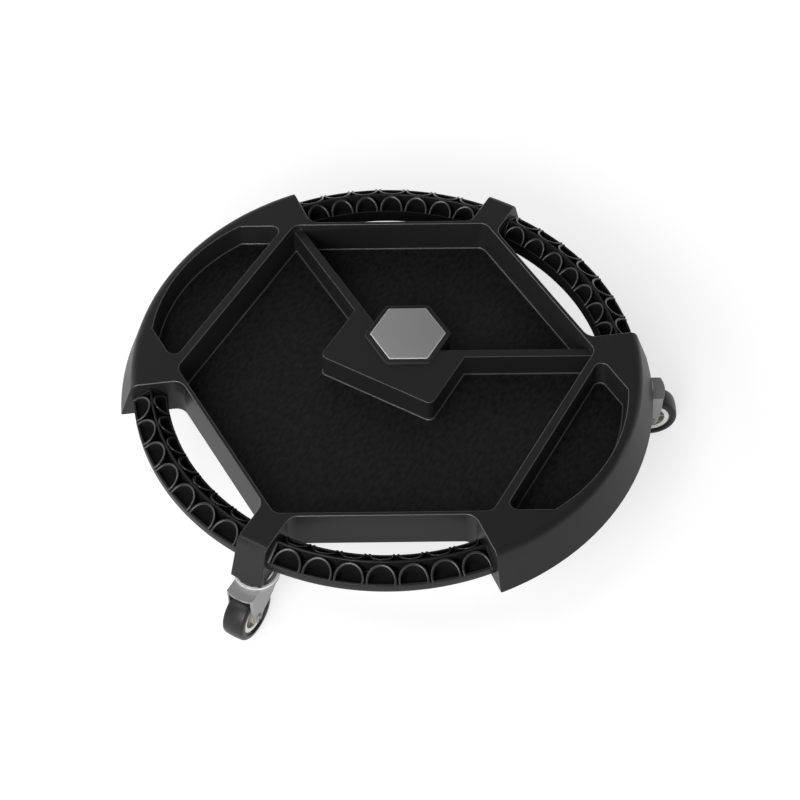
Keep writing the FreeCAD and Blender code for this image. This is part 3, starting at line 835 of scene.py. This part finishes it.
    def tongue(self, at_arm: bool) -> Surface:
        """Rounded rectangle carried from the end plate through the slot in the shell's wall.

        Args:
            at_arm: make the arm's end, else the side tray's.

        Returns:
            The closed tongue.
        """
        low = self.outer_bottom_z + self.tongue_lift
        left, right = self.tongue_radius - self.tongue_half, self.tongue_radius + self.tongue_half
        high = low + self.tongue_height
        edge = self.edge
        section = rounded([(left, low, edge), (right, low, edge), (right, high, edge), (left, high, edge)])
        wall_place = self.arm_half if at_arm else 0.0
        depth = np.array([wall_place - self.shell_wall, wall_place + self.plate / 2 + self.arm_flare])[:, None]
        heading = math.pi / 2 if at_arm else math.radians(self.pod_angle)
        side = -1.0 if at_arm else 1.0
        return Surface.swept(turned(section[:, 0], side * depth, section[:, 1], heading))

    def build(self) -> None:
        """Make the rail as one piece in place of its CAD node."""
        name, sign_x, sign_y = self.quadrant.value
        ends = [piece(at_arm) for piece in (self.end_plate, self.tongue) for at_arm in (False, True)]
        whole = joined([self.channel()] + ends + self.ribs())
        piece = whole.placed(np.diag([sign_x, sign_y, 1.0])).mesh_object("tread_rail_" + name + "_moulding")
        set_marks(piece.data, self.marks(piece.data))
        finish_piece(piece, "tray", ["tread_rail_" + name], RAIL_BLACK)


@dataclass
class Badge:
    """Plain hexagonal plate on the centre block."""

    centre_y: float = 39.3
    radius: float = 35.1
    corner: float = 0.8
    chamfer: float = 0.7
    thickness: float = 1.6
    slant_rise: tuple[float, float] = (0.1, 0.97)

    def outline(self, inset: float) -> Array:
        """Hexagon with a corner towards +Y.

        Args:
            inset: distance that its sides are drawn in.

        Returns:
            Points of the outline, two numbers each.
        """
        radius = self.radius - inset / math.cos(math.pi / 6)
        angles = np.radians(np.arange(30.0, 390.0, 60.0))
        corners = np.column_stack([radius * np.cos(angles), radius * np.sin(angles) + self.centre_y,
                                   np.full(6, self.corner)])
        return rounded(corners)

    def build(self) -> None:
        """Make the plate in place of its CAD node: straight sides, a slanted edge and a flat face."""
        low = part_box("badge_plate")[0].z / MM
        high = low + self.thickness
        insets = (0.0, 0.0, self.chamfer * ROUND_SHARE, self.chamfer)
        heights = (low, high - self.chamfer, high - self.chamfer * ROUND_SHARE, high)
        piece = stacked([self.outline(inset) for inset in insets], heights).mesh_object("badge_face")
        rise = face_array(piece.data, "normal", 3)[:, 2]
        slanted = (rise > self.slant_rise[0]) & (rise < self.slant_rise[1])
        # The slanted edge gets a painted highlight from the finish's edge colour.
        set_marks(piece.data, np.column_stack([slanted, np.zeros((len(slanted), 2))]))
        finish_piece(piece, "tray", ["badge_plate"], BADGE_GREY)


@dataclass
class Caster:
    """One swivel caster, made on its swivel axis with the wheel trailing along +X."""

    place: Place
    nodes: dict[str, bpy.types.Object]
    swivel_radius: float = 228.0
    trail: float = 21.0
    wheel_radius: float = 25.0
    tyre_width: float = 21.0
    tyre_shoulder: float = 3.2
    tread_drop: float = 0.9
    tread_round: float = 60.0
    tyre_step: float = 1.2
    lip_start: float = 1.4
    lip_end: float = 1.8
    lip_round: float = 0.4
    core_radius: float = 17.4
    core_rim: float = 4.6
    core_rim_width: float = 17.4
    core_edge: float = 0.6
    recess_margin: float = 0.1
    hub_radius: float = 7.4
    hub_length: float = 21.2
    bore: float = 4.56
    web: float = 3.0
    spokes: int = 8
    spoke_thickness: float = 1.8
    spoke_width: float = 13.0
    spoke_edge: float = 0.5
    spoke_overlap: float = 1.2
    skirt_z: float = 68.0
    crown_z: float = 59.0
    race_radius: float = 15.5
    kingpin_radius: float = 5.05
    ball_radius: float = 2.0
    ball_circle: float = 12.0
    ball_clearance: float = 0.3
    seat: float = 12.8
    rivet_radius: float = 3.7
    rivet_height: float = 1.2
    rivet_groove: float = 0.9
    rivet_middle: float = 0.55
    axle_radius: float = 3.0
    collar_clearance: float = 0.05

    def name(self, piece: str) -> str:
        """Full name of one of this caster's pieces."""
        return self.place.value[0] + "_caster_" + piece

    def body(self, part: str) -> str:
        """Name of one of this caster's bodies."""
        return self.place.value[0] + "_" + part

    def upright(self, surface: Surface) -> Surface:
        """Surface made on the swivel axis, put under the tray.

        Args:
            surface: the surface, with the wheel towards +X.

        Returns:
            The surface in its place.
        """
        heading = math.radians(self.place.value[1])
        cos, sin = math.cos(heading), math.sin(heading)
        turn = np.array([[cos, -sin, 0.0], [sin, cos, 0.0], [0.0, 0.0, 1.0]])
        return surface.placed(turn, (self.swivel_radius * cos, self.swivel_radius * sin, 0.0))

    def on_axle(self, surface: Surface) -> Surface:
        """Surface made round Z, laid on the wheel's axle and put under the tray."""
        laid = surface.placed([[1, 0, 0], [0, 0, 1], [0, -1, 0]], (self.trail, 0.0, self.wheel_radius))
        return self.upright(laid)

    def tyre(self) -> None:
        """Tyre: a section with a crowned tread, round shoulders and a shallow step on each side."""
        half, shoulder = self.tyre_width / 2, self.tyre_shoulder
        outer, inner = self.wheel_radius, self.core_radius
        step, edge = half - self.tyre_step, outer - self.tread_drop
        lip, side, curve = inner + self.lip_start, inner + self.lip_end, self.lip_round
        lean = math.atan2(self.tread_drop, half)
        top = outer + self.tread_round * (1.0 / math.cos(lean) - 1.0)
        section = rounded([
            (inner, -step, 0.0), (lip, -step, curve), (side, -half, curve), (edge, -half, shoulder),
            (top, 0.0, self.tread_round), (edge, half, shoulder), (side, half, curve), (lip, step, curve),
            (inner, step, 0.0)], steps=13)
        piece = self.on_axle(lathe(section, steps=128)).mesh_object(self.name("tyre_tread"))
        finish_piece(piece, self.body("wheel"), [self.name("tyre")], TYRE_GREY)

    def spoke(self, angle: float) -> Surface:
        """One spoke: a rounded section across the wheel, carried from the hub to the rim.

        Args:
            angle: the spoke's direction, in radians.

        Returns:
            The closed spoke.
        """
        half, width, edge = self.spoke_thickness / 2, self.spoke_width / 2, self.spoke_edge
        section = rounded([(-half, -width, edge), (half, -width, edge), (half, width, edge), (-half, width, edge)])
        start, end = self.hub_radius, self.core_radius - self.core_rim
        reach = np.array([start - self.spoke_overlap, end + self.spoke_overlap])[:, None]
        return Surface.swept(turned(reach, section[:, 0], section[:, 1], angle))

    def wheel_core(self) -> None:
        """Hub, web, rim and spokes in white plastic, with painted shade on the faces inside the rim."""
        hub, rim = self.hub_length / 2, self.core_rim_width / 2
        inner, web, edge = self.core_radius - self.core_rim, self.web / 2, self.core_edge
        section = rounded([
            (self.bore, -hub, edge), (self.hub_radius, -hub, edge), (self.hub_radius, -web, edge), (inner, -web, edge),
            (inner, -rim, edge), (self.core_radius, -rim, edge), (self.core_radius, rim, edge), (inner, rim, edge),
            (inner, web, edge), (self.hub_radius, web, edge), (self.hub_radius, hub, edge), (self.bore, hub, edge)])
        angles = np.arange(self.spokes) * TURN / self.spokes
        whole = joined([lathe(section)] + [self.spoke(angle) for angle in angles])
        piece = self.on_axle(whole).mesh_object(self.name("wheel_core_moulding"))
        set_marks(piece.data, self.recess_shade_marks(piece.data))
        finish_piece(piece, self.body("wheel"), [self.name("wheel_core")], CORE_WHITE)

    def recess_shade_marks(self, mesh: bpy.types.Mesh) -> Array:
        """Marks of every face of the wheel's core: 1 inside its rim, by the distance from the axle, where painted shade
        goes.

        Args:
            mesh: the core's mesh.

        Returns:
            Three marks per face.
        """
        centre = face_array(mesh, "center", 3) / MM
        heading = math.radians(self.place.value[1])
        ahead = centre[:, 0] * math.cos(heading) + centre[:, 1] * math.sin(heading) - self.swivel_radius - self.trail
        recess = self.core_radius - self.core_rim + self.recess_margin
        inside = np.hypot(ahead, centre[:, 2] - self.wheel_radius) < recess
        return np.column_stack([inside, np.zeros((len(inside), 2))])

    def upper_race(self) -> None:
        """Fixed cup over the balls: a bright turned ring with a round lower edge, its near-white colour partly painted
        highlight.
        """
        track = self.crown_z + 2 * self.ball_clearance + 2 * self.ball_radius
        section = rounded([
            (self.kingpin_radius, track, 0.3), (self.ball_circle + self.ball_radius, track, 0.4),
            (self.race_radius, track + self.ball_radius / 2, 0.5), (self.race_radius, self.skirt_z, 0.2),
            (self.kingpin_radius, self.skirt_z, 0.0)])
        piece = self.upright(lathe(section)).mesh_object(self.name("upper_race_ring"))
        finish_piece(piece, "tray", [self.name("upper_race")], BRIGHT_ZINC_AND_HIGHLIGHT)

    def rivet_ends(self) -> None:
        """Axle with a rolled head, and the rolled collar on its other end, each with a groove round its middle."""
        seat, radius, axle = self.seat, self.rivet_radius, self.axle_radius
        top = seat + self.rivet_height
        deep = top - self.rivet_groove
        middle, bore = axle * self.rivet_middle, axle + self.collar_clearance
        collar = rounded([(bore, seat, 0.0), (radius, seat, 0.2), (radius, top, 0.6), (bore, top, 0.3)])
        shaft = rounded([(0.0, -top, 0.0), (middle, -top, 0.4), (middle, -deep, 0.0), (axle, -deep, 0.0),
                         (axle, -top, 0.3), (radius, -top, 0.6), (radius, -seat, 0.2), (axle, -seat, 0.0),
                         (axle, deep, 0.0), (middle, deep, 0.0), (middle, top, 0.4), (0.0, top, 0.0)])
        for section, node, label in ((collar, "rivet_collar", "collar_dome"), (shaft, "axle_rivet", "axle_and_dome")):
            piece = self.on_axle(lathe(section, steps=48)).mesh_object(self.name(label))
            finish_piece(piece, self.body("swivel"), [self.name(node)], ZINC)

    def fork(self) -> None:
        """Pressed fork with rounded sheet edges, which get a painted highlight, and a painted highlight on its raised
        lip.
        """
        copy = SmoothCopy(self.nodes, edge=0.6, edge_angle=30.0, segments=3)
        piece = copy.build(self.name("fork"), self.name("fork_pressing"))
        finish_piece(piece, self.body("swivel"), [self.name("fork")], FORK_ZINC_AND_LIP_HIGHLIGHT)
        # The rounded sheet edges take the bright zinc as a painted highlight.
        piece.data.materials.append(BRIGHT_ZINC_AND_HIGHLIGHT.material())
        piece.modifiers["rounded_edges"].material = 1

    def build(self) -> None:
        """Make every piece of the caster that shows."""
        self.fork()
        self.tyre()
        self.wheel_core()
        self.upper_race()
        self.rivet_ends()


@dataclass
class Shell:
    """The tray's one black moulding."""

    nodes: dict[str, bpy.types.Object]
    basin_floor_z: float = 74.6
    side_tray_floor_z: float = 84.6
    floor_reach: float = 0.25
    level_rise: float = 0.99
    edge_width: float = 1.5
    edge_rise: tuple[float, float] = (0.4, 0.92)
    disc_edge_start: float = 219.0
    disc_edge_facing: float = 0.5
    pedestal_y: float = 39.3
    pedestal_reach: float = 42.0
    pedestal_share: float = 0.2
    normal_step: float = 0.02
    offset_step: float = 0.3

    def edge_faces(self, corners: Array, normal: Array, area: Array) -> Array:
        """Faces of narrow rounded edges.

        Faces in one plane are gathered by their normal and distance from the origin. A plane's width is its faces'
        area divided by the diagonal of the box round them, and an edge is a narrow one.

        Args:
            corners: corner points of each face.
            normal: direction of each face.
            area: area of each face.

        Returns:
            True on the faces of edges.
        """
        offset = (corners.mean(axis=1) * normal).sum(axis=1, keepdims=True)
        keys = np.round(np.hstack([normal / self.normal_step, offset / self.offset_step])).astype(int)
        _, plane = np.unique(keys, axis=0, return_inverse=True)
        plane = plane.ravel()
        total = np.bincount(plane, area)
        low, high = np.full((len(total), 3), np.inf), np.full((len(total), 3), -np.inf)
        np.minimum.at(low, plane, corners.min(axis=1))
        np.maximum.at(high, plane, corners.max(axis=1))
        return (total / np.linalg.norm(high - low, axis=1) < self.edge_width)[plane]

    def marks(self, mesh: bpy.types.Mesh) -> Array:
        """Marks of every face: rounded edge with painted highlight, grained floor with painted shade and side tray's
        floor with more painted shade.

        Upright edges and the disc's own wide round edge get no painted highlight, and the pedestal's edge only a faint
        one.

        Args:
            mesh: the moulding's mesh.

        Returns:
            Three marks per face.
        """
        corners, normal = face_corners(mesh) / MM, face_array(mesh, "normal", 3)
        x, y, z = corners.mean(axis=1).T
        radius, lean = np.hypot(x, y), np.hypot(normal[:, 0], normal[:, 1])
        level = normal[:, 2] > self.level_rise
        basin, side_tray = (level & (np.abs(z - floor) < self.floor_reach)
                            for floor in (self.basin_floor_z, self.side_tray_floor_z))
        outward = (x * normal[:, 0] + y * normal[:, 1]) / radius
        disc_edge = (radius > self.disc_edge_start) & (outward > self.disc_edge_facing * lean)
        low, high = self.edge_rise
        edge = self.edge_faces(corners, normal, face_array(mesh, "area", 1)[:, 0] / MM ** 2)
        edge &= (normal[:, 2] > low) & (normal[:, 2] < high) & ~disc_edge
        pedestal = np.hypot(x, y - self.pedestal_y) < self.pedestal_reach
        # First mark: painted highlight, faint by the pedestal; second and third: floors for the grain and painted
        # shade.
        return np.column_stack([edge * np.where(pedestal, self.pedestal_share, 1.0), basin | side_tray, side_tray])

    def build(self) -> None:
        """Show the moulding with smooth fillets and flat faces."""
        piece = SmoothCopy(self.nodes).build("tray_shell", "tray_shell_moulding")
        set_marks(piece.data, self.marks(piece.data))
        finish_piece(piece, "tray", ["tray_shell"], SHELL_BLACK)


def direction(azimuth: float, elevation: float) -> Vector:
    """Direction from the tray to a viewer or lamp; azimuth 0 is the -Y side, and 90 the +X side."""
    turn, rise = math.radians(azimuth), math.radians(elevation)
    return Vector((math.sin(turn) * math.cos(rise), -math.cos(turn) * math.cos(rise), math.sin(rise)))


@dataclass(frozen=True)
class PhotoCamera:
    """The photograph's view: a straight camera that looks down at the tray's rim."""

    azimuth: float = 29.216
    elevation: float = 51.858
    target: tuple[float, float, float] = (33.97, -36.42, 107.0)
    distance: float = 1542.2
    focal_pixels: float = 1725.25
    frame_pixels: float = 800.0
    sensor: float = 36.0

    def build(self) -> None:
        """Add the camera and make it the scene's camera."""
        back = direction(self.azimuth, self.elevation)
        turn = math.radians(self.azimuth)
        right = Vector((math.cos(turn), math.sin(turn), 0.0))
        lens = bpy.data.cameras.new("photo_camera")
        lens.sensor_width = self.sensor
        lens.lens = self.focal_pixels / self.frame_pixels * self.sensor
        camera = bpy.data.objects.new("photo_camera", lens)
        turned = Matrix((right, back.cross(right), back)).transposed().to_4x4()
        camera.matrix_world = Matrix.Translation((Vector(self.target) + back * self.distance) * MM) @ turned
        bpy.context.scene.collection.objects.link(camera)
        bpy.context.scene.camera = camera


@dataclass(frozen=True)
class SoftLamp:
    """A large square lamp at an azimuth and height, turned to the tray; distance and side in metres."""

    name: str
    azimuth: float
    elevation: float
    distance: float
    side: float
    watts: float

    def build(self, target: Vector) -> None:
        """Add the lamp, facing a point.

        Args:
            target: the point, in metres.
        """
        back = direction(self.azimuth, self.elevation)
        light = bpy.data.lights.new(self.name, "AREA")
        light.shape = "SQUARE"
        light.size = self.side
        light.energy = self.watts
        lamp = bpy.data.objects.new(self.name, light)
        facing = back.to_track_quat("Z", "Y").to_matrix().to_4x4()
        lamp.matrix_world = Matrix.Translation(target + back * self.distance) @ facing
        bpy.context.scene.collection.objects.link(lamp)


@dataclass
class Studio:
    """Pale floor, pale surroundings and soft lamps."""

    lamps: tuple[SoftLamp, ...] = (
        SoftLamp("front_lamp", 8.0, 30.0, 1.8, 1.0, 26.0),
        SoftLamp("left_lamp", -66.0, 22.0, 1.7, 0.9, 4.5),
        SoftLamp("upper_left_lamp", -36.0, 61.0, 1.6, 0.5, 4.8),
    )
    aim: tuple[float, float, float] = (0.0, 0.0, 0.08)
    floor_reach: float = 8000.0
    ceiling: float = 0.12
    ceiling_start: float = 0.12
    ceiling_reach: float = 0.4
    back_wall: float = 0.4
    wall_facing: tuple[float, float] = (-0.6, 0.8)
    floor_white: float = 0.92
    floor_glow: float = 1.35
    shadow_share: float = 0.5
    shadow_reach: tuple[float, float] = (0.35, 0.9)

    def seen(self, tree: Tree) -> Value:
        """1 for rays from the camera, from glossy surfaces or through clear ones, else 0.

        Args:
            tree: the material's tree.

        Returns:
            The share.
        """
        path = tree.node("ShaderNodeLightPath")
        kinds = ("Is Camera Ray", "Is Glossy Ray", "Is Transmission Ray")
        camera, glossy, through = (tree.value(path, kind) for kind in kinds)
        return camera.maths("MAXIMUM", glossy).maths("MAXIMUM", through)

    def world(self) -> None:
        """Surroundings white at the horizon, higher up at the left back wall, and dim at the ceiling."""
        world = bpy.data.worlds.new("surround")
        bpy.context.scene.world = world
        tree = Tree(world)
        side, back, rise = tree.axes(tree.value(tree.node("ShaderNodeTexCoord"), "Generated"))
        wall = (back * self.wall_facing[1] + side * self.wall_facing[0]).maths("MAXIMUM", 0.0)
        start = wall * self.back_wall + self.ceiling_start
        share = ((rise - start) * (1.0 / self.ceiling_reach)).clamped()
        strength = 1.0 - share * (1.0 - self.ceiling)
        light = tree.node("ShaderNodeBackground", {}, {"Color": (1.0, 1.0, 1.0, 1.0), "Strength": strength})
        tree.node("ShaderNodeOutputWorld", {}, {"Surface": tree.value(light)})

    def floor(self) -> None:
        """Pale floor that keeps the tray's shadow near it and is plain white farther off."""
        line = np.array([-self.floor_reach, self.floor_reach])
        x, y = np.meshgrid(line, line, indexing="ij")
        floor = Surface.grid(np.stack([x, y, np.zeros_like(x)], axis=-1)).mesh_object("studio_floor")
        material = bpy.data.materials.new("floor_pale")
        tree = Tree(material)
        matte = tree.node("ShaderNodeBsdfDiffuse", {}, {"Color": (*(self.floor_white,) * 3, 1.0)})
        glow = tree.node("ShaderNodeEmission", {}, {"Color": (1.0, 1.0, 1.0, 1.0), "Strength": self.floor_glow})
        near, far = self.shadow_reach
        across, along, _ = tree.axes(tree.place())
        away = (across * across + along * along).maths("SQRT")
        shade = ((far - away) * (1.0 / (far - near))).clamped()
        share = self.seen(tree) * (1.0 - shade * self.shadow_share)
        mixed = tree.node("ShaderNodeMixShader", {}, {0: share, 1: tree.value(matte), 2: tree.value(glow)})
        tree.node("ShaderNodeOutputMaterial", {}, {"Surface": tree.value(mixed)})
        floor.data.materials.append(material)

    def build(self) -> None:
        """Add floor, surroundings and lamps that face the aim, which is in metres."""
        self.world()
        self.floor()
        for lamp in self.lamps:
            lamp.build(Vector(self.aim))
        bpy.context.scene.view_settings.view_transform = "Standard"


def dress_frame(frame: dict[str, Any]) -> None:
    """Give every CAD node the finish of its material slot.

    Args:
        frame: the loaded frame.
    """
    slots = {row["node"]: Slot(row["material_slot"]) for row in frame["record"]["subparts"]}
    for name, node in frame["nodes"].items():
        node.data.materials.clear()
        node.data.materials.append(LOOKS[slots[name]].material())


def main() -> None:
    """Load the frame, build every piece and set up the studio."""
    logging.basicConfig(level=logging.INFO, format="%(name)s: %(message)s")
    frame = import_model()
    dress_frame(frame)
    Shell(frame["nodes"]).build()
    Badge().build()
    for quadrant in Quadrant:
        TreadRail(quadrant).build()
    for place in Place:
        Caster(place, frame["nodes"]).build()
    Studio().build()
    PhotoCamera().build()


if __name__ == "__main__":
    main()
